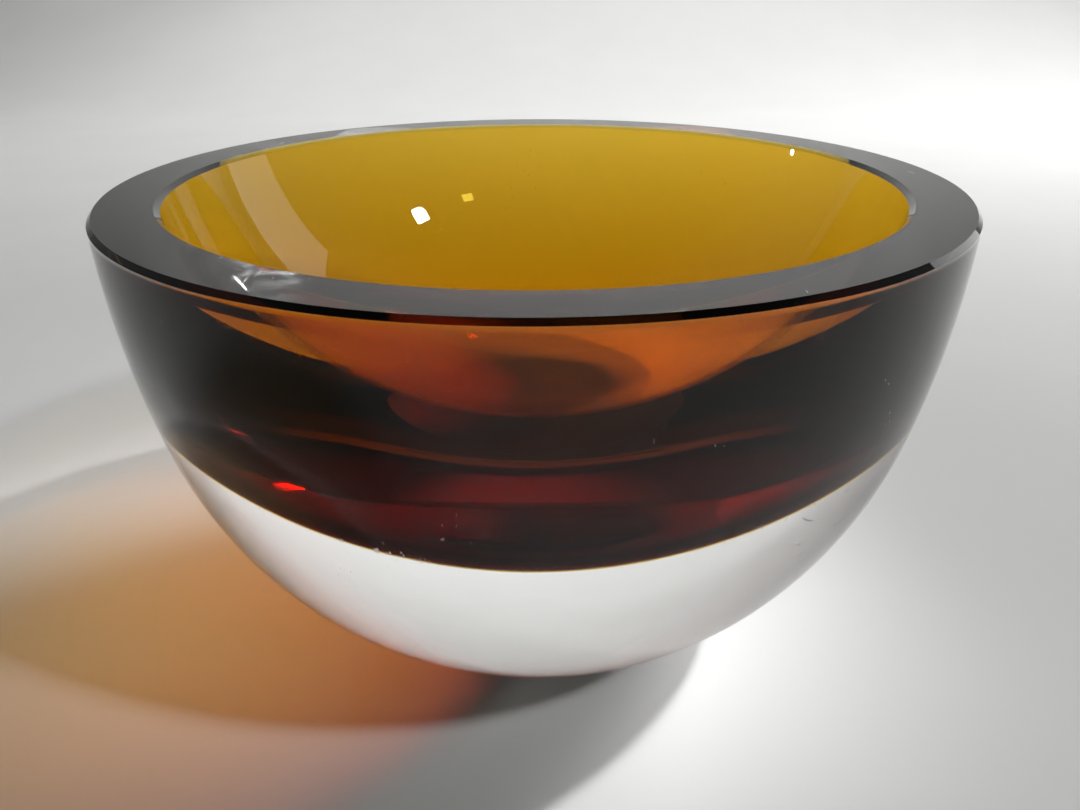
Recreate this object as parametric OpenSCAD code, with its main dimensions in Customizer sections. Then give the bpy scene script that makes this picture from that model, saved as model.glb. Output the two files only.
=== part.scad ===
// Heavy cased-glass bowl: a round cavity with a thin amber lining, in clear glass
// whose wall grows from the rim to a thick base. The rim and the foot are ground
// flat. The origin is the centre of the foot, with +Z up through the mouth.

/* [Bowl] */
// Outside diameter at the rim
rim_d = 200; // [196:1:208]
// Height from the foot to the rim
bowl_h = 120; // [116:1:121]
// Width of the polished bevel on the outer edge of the rim
rim_bevel = 1; // [0.4:0.1:2]

/* [Outer wall] */
// Radius of the near-upright arc below the rim
wall_r = 217.3; // [213.2:2.05:221.4]
// Radius of the shoulder arc
shoulder_r = 104.55; // [100.45:2.05:104.55]
// Radius of the belly arc, which runs down to the foot
belly_r = 73; // [71:1:84]

/* [Cavity] */
// Diameter of the mouth, before its edge is bevelled
mouth_d = 172; // [166:1:176]
// Depth of the cavity below the rim
cavity_depth = 71; // [67:1:74]
// Radius of the curve at the lowest point of the cavity
floor_r = 88; // [80:1:96]
// Width of the polished bevel on the edge of the mouth
mouth_bevel = 1; // [0.4:0.1:1.2]

/* [Amber lining] */
// Thickness of the lining at the rim
rim_lining = 1.3; // [1.3:0.1:3]
// Thickness of the lining at the bottom of the cavity
base_lining = 3; // [2:0.1:5]

/* [Hidden] */
$fn = 180;

rim_r = rim_d / 2;
mouth_r = mouth_d / 2;

// Each bevel takes off both faces alike: the outer wall is upright at the rim, and
// the cavity leans out by about 10 degrees at the mouth
rim_slope = 1;
mouth_slope = 0.8;

// The outer wall is three arcs that run smoothly into each other, first where it
// leans 9 in 40 from upright and then 4 in 3. Both slopes come from whole-number
// triangles, so with radii in steps of 2.05 every centre falls on a short decimal,
// and each arc starts exactly where the last one ends.
wall_lean = [40, -9] / 41;
shoulder_lean = [3, -4] / 5;
wall_centre = [rim_r - wall_r, bowl_h];
wall_end = wall_centre + wall_r * wall_lean;
shoulder_centre = wall_end - shoulder_r * wall_lean;
shoulder_end = shoulder_centre + shoulder_r * shoulder_lean;
belly_centre = shoulder_end - belly_r * shoulder_lean;

// The slice of a round section between two heights, right of the axis
module band(centre, radius, bottom, top) {
    intersection() {
        translate(centre) circle(radius);
        translate([0, bottom]) square([rim_d, top - bottom]);
    }
}

module outer_section() {
    band(wall_centre, wall_r, wall_end.y, bowl_h);
    band(shoulder_centre, shoulder_r, shoulder_end.y, wall_end.y);
    band(belly_centre, belly_r, 0, shoulder_end.y);
}

// The section of a round-bottomed cup: part of an ellipse that has the radius
// floor_r at its lowest point, and that meets the rim plane at top_r
module cup_section(depth, top_r) {
    half_height = depth * depth / (2 * depth - top_r * top_r / floor_r);
    half_width = sqrt(floor_r * half_height);
    intersection() {
        translate([0, bowl_h - depth + half_height])
        scale([1, half_height / half_width])
        circle(half_width);
        square([rim_d, bowl_h]);
    }
}

module cavity_section() {
    cup_section(cavity_depth, mouth_r);
}

// The cavity and its lining: everything inside the clear glass
module lined_section() {
    cup_section(cavity_depth + base_lining, mouth_r + rim_lining);
}

// What the grinder takes off an edge of the rim, at this slope down from the rim;
// side is 1 on the outer edge and -1 on the edge of the mouth
module edge_cut(edge_r, width, slope, side) {
    start_r = edge_r - side * width;
    end_r = edge_r + side * 3 * width;
    polygon([
        [start_r, bowl_h],
        [end_r, bowl_h],
        [end_r, bowl_h - 4 * width * slope],
    ]);
}

// The clear glass, from the foot to the rim
module clear_casing() {
    color([0.90, 0.93, 0.92, 0.45])
    rotate_extrude()
    difference() {
        outer_section();
        lined_section();
        edge_cut(rim_r, rim_bevel, rim_slope, 1);
    }
}

// The amber glass inside it, thin at the rim and thicker at the bottom
module amber_lining() {
    color([0.85, 0.52, 0.04, 0.85])
    rotate_extrude()
    difference() {
        lined_section();
        cavity_section();
        edge_cut(mouth_r, mouth_bevel, mouth_slope, -1);
    }
}

clear_casing();
amber_lining();
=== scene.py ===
"""A heavy cased-glass bowl: thick clear glass with a thin amber lining, on a pale studio floor."""

import math

import bpy
from mathutils import Euler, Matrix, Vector


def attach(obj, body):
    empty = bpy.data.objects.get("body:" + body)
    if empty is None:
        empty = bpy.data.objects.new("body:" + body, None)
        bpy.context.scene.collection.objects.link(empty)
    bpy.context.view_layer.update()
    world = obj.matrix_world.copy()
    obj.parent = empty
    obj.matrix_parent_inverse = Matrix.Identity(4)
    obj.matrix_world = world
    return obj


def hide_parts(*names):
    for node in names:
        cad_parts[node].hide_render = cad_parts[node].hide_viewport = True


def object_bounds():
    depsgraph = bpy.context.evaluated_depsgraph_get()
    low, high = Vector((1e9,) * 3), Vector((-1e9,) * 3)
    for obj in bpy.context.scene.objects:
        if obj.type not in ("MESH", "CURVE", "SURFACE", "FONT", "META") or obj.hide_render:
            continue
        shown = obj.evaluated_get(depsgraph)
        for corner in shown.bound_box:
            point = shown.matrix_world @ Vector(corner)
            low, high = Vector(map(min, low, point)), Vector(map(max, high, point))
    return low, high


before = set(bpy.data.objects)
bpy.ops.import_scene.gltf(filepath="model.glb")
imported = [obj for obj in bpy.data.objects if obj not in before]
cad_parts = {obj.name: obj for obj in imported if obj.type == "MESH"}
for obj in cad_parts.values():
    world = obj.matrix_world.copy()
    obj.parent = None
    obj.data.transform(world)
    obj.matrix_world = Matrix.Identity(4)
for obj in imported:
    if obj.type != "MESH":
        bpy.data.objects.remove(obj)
cad_low, cad_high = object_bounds()

# The bowl's measures in metres, the same as the CAD model's
HEIGHT = cad_high.z
RIM_R = 0.100
RIM_BEVEL = 0.001
WALL_R, WALL_LEAN = 0.2173, math.atan2(9, 40)
SHOULDER_R, SHOULDER_LEAN = 0.10455, math.atan2(4, 3)
BELLY_R = 0.073
MOUTH_R = 0.086
MOUTH_BEVEL, MOUTH_SLOPE = 0.001, 0.8
CAVITY_DEPTH = 0.071
FLOOR_R = 0.088  # the radius of curvature at the lowest point of the cavity
RIM_LINING, BASE_LINING = 0.0013, 0.003

# The CAD model's own mesh lies a hair inside its true circle, and the wall here keeps to it
INSET = min(abs(v) for v in (*cad_low.xy, *cad_high.xy)) / RIM_R
SEAM_GAP = 0.00001  # between the two glasses, so that their faces don't coincide
ON_AXIS = 1e-7  # a radius below this is a point on the axis

# How finely the curves are cut
SEGMENTS = 384
WALL_STEPS, SHOULDER_STEPS, BELLY_STEPS = 48, 60, 28
CUP_STEPS = 96
EDGE_TRIES = 30
BACKDROP_STEPS = 48

# What a band of a lathed piece is, kept in its mesh as the attribute "band"
SKIN, SEAM, GROUND = 0, 1, 2
SAME_BAND = 0.4


# Profiles: points are (radius, height)


def arc(start, radius, lean_from, lean_to, steps):
    """Points down an arc of the outer wall, between two leans from upright."""
    centre = start - radius * Vector((math.cos(lean_from), -math.sin(lean_from)))
    leans = (lean_from + (lean_to - lean_from) * i / steps for i in range(1, steps + 1))
    return [centre + radius * Vector((math.cos(a), -math.sin(a))) for a in leans]


def outer_wall():
    """The wall, from the lower edge of the rim bevel down to the edge of the foot."""
    wall = arc(Vector((RIM_R, HEIGHT)), WALL_R, 0, WALL_LEAN, WALL_STEPS)
    shoulder = arc(wall[-1], SHOULDER_R, WALL_LEAN, SHOULDER_LEAN, SHOULDER_STEPS)
    belly_centre_z = shoulder[-1].y + BELLY_R * math.sin(SHOULDER_LEAN)
    foot_lean = math.asin(belly_centre_z / BELLY_R)
    belly = arc(shoulder[-1], BELLY_R, SHOULDER_LEAN, foot_lean, BELLY_STEPS)
    edge = Vector((RIM_R, HEIGHT - RIM_BEVEL))
    points = [edge] + [p for p in wall if p.y < edge.y] + shoulder + belly
    return [Vector((p.x * INSET, p.y)) for p in points]


def cup(depth, top_r, drop, grow, steps=CUP_STEPS):
    """A part of an ellipse, from drop below the rim plane to its lowest point on the axis. Its
    radius at the rim plane is top_r, before grow makes the ellipse larger all round."""
    half_height = depth**2 / (2 * depth - top_r**2 / FLOOR_R)
    half_width = math.sqrt(FLOOR_R * half_height)
    centre = HEIGHT - depth + half_height
    first = math.asin((centre - HEIGHT + drop) / half_height)
    angles = (first + (math.pi / 2 - first) * i / steps for i in range(steps + 1))
    points = []
    for a in angles:
        z = centre - (half_height + grow) * math.sin(a)
        points.append(Vector(((half_width + grow) * math.cos(a), min(z, HEIGHT))))
    points[-1].x = 0
    return points


def seam(grow):
    """The line along which the two glasses meet."""
    return cup(CAVITY_DEPTH + BASE_LINING, MOUTH_R + RIM_LINING, 0, grow)


def mouth_edge():
    """Where the bevel of the mouth meets the wall of the cavity, as a depth below the rim."""
    drop = 0.0
    for _ in range(EDGE_TRIES):
        wall_r = cup(CAVITY_DEPTH, MOUTH_R, drop, 0, 1)[0].x
        drop = (MOUTH_R + MOUTH_BEVEL - wall_r) * MOUTH_SLOPE
    return drop


# Meshes


def lathe(name, points, bands, sharp):
    """A closed body of revolution. points run from the axis to the axis, bands names what each
    strip between two of them is, and sharp lists the points whose ring is a crisp edge."""
    verts, faces, kinds, starts = [], [], [], []
    for p in points:
        starts.append(len(verts))
        if p.x < ON_AXIS:
            verts.append((0, 0, p.y))
        else:
            turns = (2 * math.pi * s / SEGMENTS for s in range(SEGMENTS))
            verts += [(p.x * math.cos(a), p.x * math.sin(a), p.y) for a in turns]
    for i, band in enumerate(bands):
        a, b = starts[i], starts[i + 1]
        for s in range(SEGMENTS):
            t = (s + 1) % SEGMENTS
            if points[i].x < ON_AXIS:
                faces.append((a, b + t, b + s))
            elif points[i + 1].x < ON_AXIS:
                faces.append((a + s, a + t, b))
            else:
                faces.append((a + s, a + t, b + t, b + s))
            kinds.append(float(band))
    mesh = bpy.data.meshes.new(name)
    mesh.from_pydata(verts, [], faces)
    mesh.shade_smooth()
    mesh.attributes.new("band", "FLOAT", "FACE").data.foreach_set("value", kinds)
    ring_sizes = (1 if p.x < ON_AXIS else SEGMENTS for p in points)
    ring_of = [i for i, size in enumerate(ring_sizes) for _ in range(size)]
    crisp = mesh.attributes.new("sharp_edge", "BOOLEAN", "EDGE")
    ends = ((ring_of[e.vertices[0]], ring_of[e.vertices[1]]) for e in mesh.edges)
    crisp.data.foreach_set("value", [a == b and a in sharp for a, b in ends])
    mesh.update()
    piece = bpy.data.objects.new(name, mesh)
    bpy.context.collection.objects.link(piece)
    return piece


def make_casing():
    wall = outer_wall()[::-1]
    inner = seam(SEAM_GAP)
    points = [Vector((0, 0)), Vector((wall[0].x, 0))] + wall[1:]
    points += [Vector((RIM_R - RIM_BEVEL, HEIGHT))] + inner
    rim = len(wall) + 1
    bands = [GROUND] + [SKIN] * (rim - 1) + [GROUND] + [SEAM] * (len(inner) - 1)
    return lathe("clear_casing_glass", points, bands, [1, rim - 1, rim, rim + 1])


def make_lining():
    outer = seam(-SEAM_GAP)[::-1]
    inner = cup(CAVITY_DEPTH, MOUTH_R, mouth_edge(), 0)
    points = outer + [Vector((MOUTH_R + MOUTH_BEVEL, HEIGHT))] + inner
    n = len(outer)
    bands = [SEAM] * (n - 1) + [GROUND] + [SKIN] * len(inner)
    return lathe("amber_lining_glass", points, bands, [n - 1, n, n + 1])


# Materials

IOR = 1.5
SCRATCH_STRETCH = (1600, 40, 400)  # noise cells per metre, so that a scratch is long and thin
SCRATCH_LAYERS = ((0.8, 0.3), (1.0, 1.5), (1.3, 2.6))  # (how much finer, turn in radians)
SCRATCH_TILT = (0.3, 0.2)
SCRATCH_EDGE = (0.70, 0.76)
WEAR_CELLS, WEAR_EDGE = 45.0, (0.52, 0.70)  # the patches that have scratches
SCRATCH_ROUGH, SCRATCH_RELIEF, SCRATCH_DEPTH = 0.3, 0.15, 0.0001
HAZE_CELLS, HAZE_EDGE, HAZE_ROUGH = 140.0, (0.3, 0.75), (0.02, 0.11)
GLEAM, GLEAM_ROUGH, GLEAM_FACING = (1.0, 0.72, 0.16, 1), 0.25, (0.90, 0.96)
GLANCING_CAST, CAST_FALL = (0.02, 0.02, 0.02, 1), 3.0

CLEAR_TINT, CLEAR_CAST = (0.99, 0.995, 0.99, 1), (0.22, 0.22, 0.22, 1)
AMBER_TINT, AMBER_CAST = (1, 1, 1, 1), (2.1, 2.0, 1.2, 1)
AMBER_ABSORB = ((0.94, 0.792, 0.0, 1), 2400.0)
FLOOR_TONES, FLOOR_ROUGH, MOTTLE_CELLS = ((0.74, 0.74, 0.73, 1), (0.80, 0.80, 0.79, 1)), 0.85, 9.0


class Graph:
    """A material's or a world's node tree, with short calls to fill it."""

    def __init__(self, owner):
        owner.use_nodes = True
        self.tree = owner.node_tree
        self.tree.nodes.clear()

    def add(self, kind, links=None, **settings):
        """A node. settings are its properties, or its inputs' values; links feed its inputs."""
        n = self.tree.nodes.new(kind)
        for key, value in settings.items():
            if hasattr(n, key):
                setattr(n, key, value)
            else:
                n.inputs[key.replace("_", " ")].default_value = value
        for key, socket in (links or {}).items():
            self.tree.links.new(socket, n.inputs[key])
        return n

    def math(self, operation, a, b=0.0, c=0.0):
        """The result of a Math node. Each of a, b and c is a socket or a number."""
        n = self.add("ShaderNodeMath", operation=operation)
        for i, value in enumerate((a, b, c)):
            if isinstance(value, bpy.types.NodeSocket):
                self.tree.links.new(value, n.inputs[i])
            else:
                n.inputs[i].default_value = value
        return n.outputs[0]

    def ramp(self, socket, low, high, to_low=0.0, to_high=1.0):
        """A smooth step from to_low, where the socket is low or less, up to to_high."""
        n = self.add("ShaderNodeMapRange", {"Value": socket}, From_Min=low, From_Max=high)
        n.inputs["To Min"].default_value = to_low
        n.inputs["To Max"].default_value = to_high
        n.interpolation_type = "SMOOTHSTEP"
        return n.outputs[0]


def glass(name, tint, cast, absorb=None):
    """Polished glass. Its seam faces let light straight through, so that the two glasses read as
    one piece, and its ground faces have a faint haze. cast is what it does to the light that
    falls through it onto the floor, over 1 where it gathers light, and absorb is the (colour,
    density) of the glass itself."""
    m = bpy.data.materials.new(name)
    g = Graph(m)
    band = g.add("ShaderNodeAttribute", attribute_name="band").outputs["Fac"]
    is_seam = g.math("COMPARE", band, SEAM, SAME_BAND)
    is_ground = g.math("COMPARE", band, GROUND, SAME_BAND)

    # Fine scratches in the worn patches, and the haze that grinding leaves
    where = g.add("ShaderNodeTexCoord").outputs["Object"]
    marks = 0.0
    thin, *long = SCRATCH_STRETCH
    tilt_x, tilt_y = SCRATCH_TILT
    for scale, turn in SCRATCH_LAYERS:
        lay = g.add("ShaderNodeMapping", {"Vector": where}, Scale=(thin * scale, *long))
        lay.inputs["Rotation"].default_value = (tilt_x * turn, tilt_y, turn)
        fine = g.add("ShaderNodeTexNoise", {"Vector": lay.outputs[0]}, Scale=1.0, Detail=1.0)
        marks = g.math("MAXIMUM", g.ramp(fine.outputs[0], *SCRATCH_EDGE), marks)
    wear = g.add("ShaderNodeTexNoise", {"Vector": where}, Scale=WEAR_CELLS, Detail=3.0)
    marks = g.math("MULTIPLY", marks, g.ramp(wear.outputs[0], *WEAR_EDGE))
    cloud = g.add("ShaderNodeTexNoise", {"Vector": where}, Scale=HAZE_CELLS, Detail=4.0)
    haze = g.ramp(cloud.outputs[0], *HAZE_EDGE, *HAZE_ROUGH)
    rough = g.math("MULTIPLY", haze, is_ground)
    rough = g.math("MULTIPLY_ADD", marks, SCRATCH_ROUGH, rough)
    relief = g.add(
        "ShaderNodeBump", {"Height": marks}, Strength=SCRATCH_RELIEF, Distance=SCRATCH_DEPTH
    )

    shader = g.add(
        "ShaderNodeBsdfPrincipled",
        {"Roughness": rough, "Normal": relief.outputs[0]},
        Base_Color=tint,
        IOR=IOR,
        Transmission_Weight=1.0,
    )
    facing = g.add("ShaderNodeLayerWeight", Blend=0.5).outputs["Facing"]
    through = g.add("ShaderNodeBsdfTransparent")
    # Where it is seen edge-on, the seam catches the light in a thin golden line
    gleam = g.add("ShaderNodeBsdfGlossy", Color=GLEAM, Roughness=GLEAM_ROUGH)
    edge_on = g.ramp(facing, *GLEAM_FACING)
    fused = g.add("ShaderNodeMixShader", {0: edge_on, 1: through.outputs[0], 2: gleam.outputs[0]})
    body = g.add("ShaderNodeMixShader", {0: is_seam, 1: shader.outputs[0], 2: fused.outputs[0]})

    # Light on its way to the floor goes straight through, less of it at a glancing angle
    pass_on = g.add("ShaderNodeMix", data_type="RGBA")
    g.tree.links.new(g.math("POWER", facing, CAST_FALL), pass_on.inputs[0])
    pass_on.inputs[6].default_value = cast
    pass_on.inputs[7].default_value = GLANCING_CAST
    clear = g.add("ShaderNodeBsdfTransparent", {"Color": pass_on.outputs[2]})
    shadow = g.add(
        "ShaderNodeMixShader", {0: is_seam, 1: clear.outputs[0], 2: through.outputs[0]}
    )
    ray = g.add("ShaderNodeLightPath")
    final = g.add(
        "ShaderNodeMixShader",
        {0: ray.outputs["Is Shadow Ray"], 1: body.outputs[0], 2: shadow.outputs[0]},
    )
    out = g.add("ShaderNodeOutputMaterial", {"Surface": final.outputs[0]})
    if absorb:
        inside = g.add("ShaderNodeVolumeAbsorption", Color=absorb[0], Density=absorb[1])
        g.tree.links.new(inside.outputs[0], out.inputs["Volume"])
    return m


def floor_material():
    """Matt and pale, with a faint mottle."""
    m = bpy.data.materials.new("pale_floor")
    g = Graph(m)
    where = g.add("ShaderNodeTexCoord").outputs["Object"]
    mottle = g.add("ShaderNodeTexNoise", {"Vector": where}, Scale=MOTTLE_CELLS, Detail=6.0)
    tone = g.add("ShaderNodeMix", {0: mottle.outputs[0]}, data_type="RGBA")
    tone.inputs[6].default_value, tone.inputs[7].default_value = FLOOR_TONES
    shader = g.add(
        "ShaderNodeBsdfPrincipled", {"Base Color": tone.outputs[2]}, Roughness=FLOOR_ROUGH
    )
    g.add("ShaderNodeOutputMaterial", {"Surface": shader.outputs[0]})
    return m


casing = make_casing()
casing.data.materials.append(glass("clear_glass", CLEAR_TINT, CLEAR_CAST))
lining = make_lining()
lining.data.materials.append(glass("amber_glass", AMBER_TINT, AMBER_CAST, AMBER_ABSORB))
for piece, name, slot in (
    (casing, "clear_casing", "clear_glass"),
    (lining, "amber_lining", "amber_glass"),
):
    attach(piece, "root")
    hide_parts(name)


# Studio

WHITE, YELLOW = (1, 1, 1), (1, 0.8, 0.1)
BEHIND = Vector((0.0, 1.6, 0.4))
FLOOR_HALF = 40
BACKDROP_START, BACKDROP_CURVE, BACKDROP_TOP, BACKDROP_HALF = 1.0, 0.7, 2.2, 1.7
SKY_FRONT, SKY_RISE, SKY_TURN = 0.02, 0.10, (-0.35, 0.35)  # the light round the bowl
SKY_SEEN = 0.62  # what the camera sees of it beyond the backdrop


def direction(azimuth, elevation):
    """A direction from the bowl: azimuth 0 is to its right and 90 behind it, in degrees."""
    a, e = math.radians(azimuth), math.radians(elevation)
    return Vector((math.cos(a) * math.cos(e), math.sin(a) * math.cos(e), math.sin(e)))


def lamp(name, at, size, watts, distance=1.5, spread=180, aim=None, shows="", tint=WHITE):
    """A panel at an (azimuth, elevation) from the bowl, aimed at it unless aim says otherwise.
    shows says how the panel can be seen in the glass: glossy by reflection, transmission
    through it."""
    data = bpy.data.lights.new(name, "AREA")
    data.shape = "RECTANGLE"
    data.size, data.size_y = size
    data.energy = watts
    data.spread = math.radians(spread)
    data.color = tint
    obj = bpy.data.objects.new(name, data)
    bpy.context.collection.objects.link(obj)
    centre = Vector((0, 0, HEIGHT / 2))
    obj.location = centre + distance * direction(*at)
    obj.rotation_mode = "QUATERNION"
    obj.rotation_quaternion = ((aim or centre) - obj.location).to_track_quat("-Z", "Y")
    obj.visible_camera = False
    obj.visible_glossy = "glossy" in shows
    obj.visible_transmission = "transmission" in shows


lamp("key", (-31, 42), (0.13, 0.13), watts=0.058, spread=12, shows="glossy transmission")
lamp("side", (8, 50), (0.14, 0.14), watts=0.14, spread=6.5)
lamp("window", (32, 19), (0.52, 0.75), watts=1.6, shows="glossy")
lamp("daylight", (34, 25), (0.88, 0.88), watts=17.5, distance=2.4, spread=100)
lamp("overhead", (72, 59), (1.5, 1.0), watts=8.5, spread=130, aim=BEHIND)
lamp("spark", (-57, 41), (0.10, 0.07), watts=0.25, shows="glossy", tint=YELLOW)
lamp("rim_glint", (110, 17), (0.10, 0.03), watts=0.6, shows="glossy")
lamp("mouth_glint", (163, 8), (0.04, 0.14), watts=0.8, shows="glossy")


def make_sheet(name, material, profile, half_width):
    """A plain sheet, which runs along a profile of (y, z) points."""
    verts = [(x, y, z) for y, z in profile for x in (-half_width, half_width)]
    faces = [(2 * i, 2 * i + 1, 2 * i + 3, 2 * i + 2) for i in range(len(profile) - 1)]
    mesh = bpy.data.meshes.new(name)
    mesh.from_pydata(verts, [], faces)
    mesh.shade_smooth()
    sheet = bpy.data.objects.new(name, mesh)
    bpy.context.collection.objects.link(sheet)
    sheet.data.materials.append(material)


def sweep(start_y, radius, top):
    """The backdrop's profile: up from the floor in a quarter circle, and then straight."""
    turns = (math.pi / 2 * i / BACKDROP_STEPS for i in range(BACKDROP_STEPS + 1))
    curve = [(start_y + radius * math.sin(a), radius * (1 - math.cos(a))) for a in turns]
    return curve + [(start_y + radius, top)]


pale = floor_material()
make_sheet("floor", pale, [(-FLOOR_HALF, 0), (FLOOR_HALF, 0)], FLOOR_HALF)
backdrop = sweep(BACKDROP_START, BACKDROP_CURVE, BACKDROP_TOP)
make_sheet("backdrop", pale, backdrop, BACKDROP_HALF)

scene = bpy.context.scene
scene.world = bpy.data.worlds.new("studio")
g = Graph(scene.world)
toward = g.add("ShaderNodeSeparateXYZ", {0: g.add("ShaderNodeTexCoord").outputs["Generated"]})
back = g.ramp(toward.outputs["Y"], *SKY_TURN)
level = g.math("MULTIPLY_ADD", back, SKY_RISE, SKY_FRONT)
ray = g.add("ShaderNodeLightPath")
seen = g.add("ShaderNodeMix", {0: ray.outputs["Is Camera Ray"]}, data_type="FLOAT")
g.tree.links.new(level, seen.inputs[2])
seen.inputs[3].default_value = SKY_SEEN
sky = g.add("ShaderNodeBackground", {"Strength": seen.outputs[0]}, Color=(1, 1, 1, 1))
g.add("ShaderNodeOutputWorld", {"Surface": sky.outputs[0]})

# The camera, close to the bowl and a little above its rim. BACK and UP are in radii of the
# flat rim, from the rim's centre, and the angles are in degrees.
LENS, BACK, UP = 28.67, 2.1636, 0.432
PITCH, ROLL, YAW = 63.83, 0.14, -0.35
flat_r = RIM_R - RIM_BEVEL
camera = bpy.data.objects.new("camera", bpy.data.cameras.new("camera"))
bpy.context.collection.objects.link(camera)
camera.data.lens = LENS
camera.data.clip_start = 0.01
camera.location = (0, -BACK * flat_r, HEIGHT + UP * flat_r)
camera.rotation_euler = Euler([math.radians(angle) for angle in (PITCH, ROLL, YAW)])
scene.camera = camera

scene.view_settings.view_transform = "Standard"
BOUNCES, CLEAR_BOUNCES = 24, 32  # enough for light to cross both walls of the bowl
scene.cycles.max_bounces = BOUNCES
scene.cycles.transmission_bounces = BOUNCES
scene.cycles.transparent_max_bounces = CLEAR_BOUNCES
scene.cycles.caustics_refractive = False
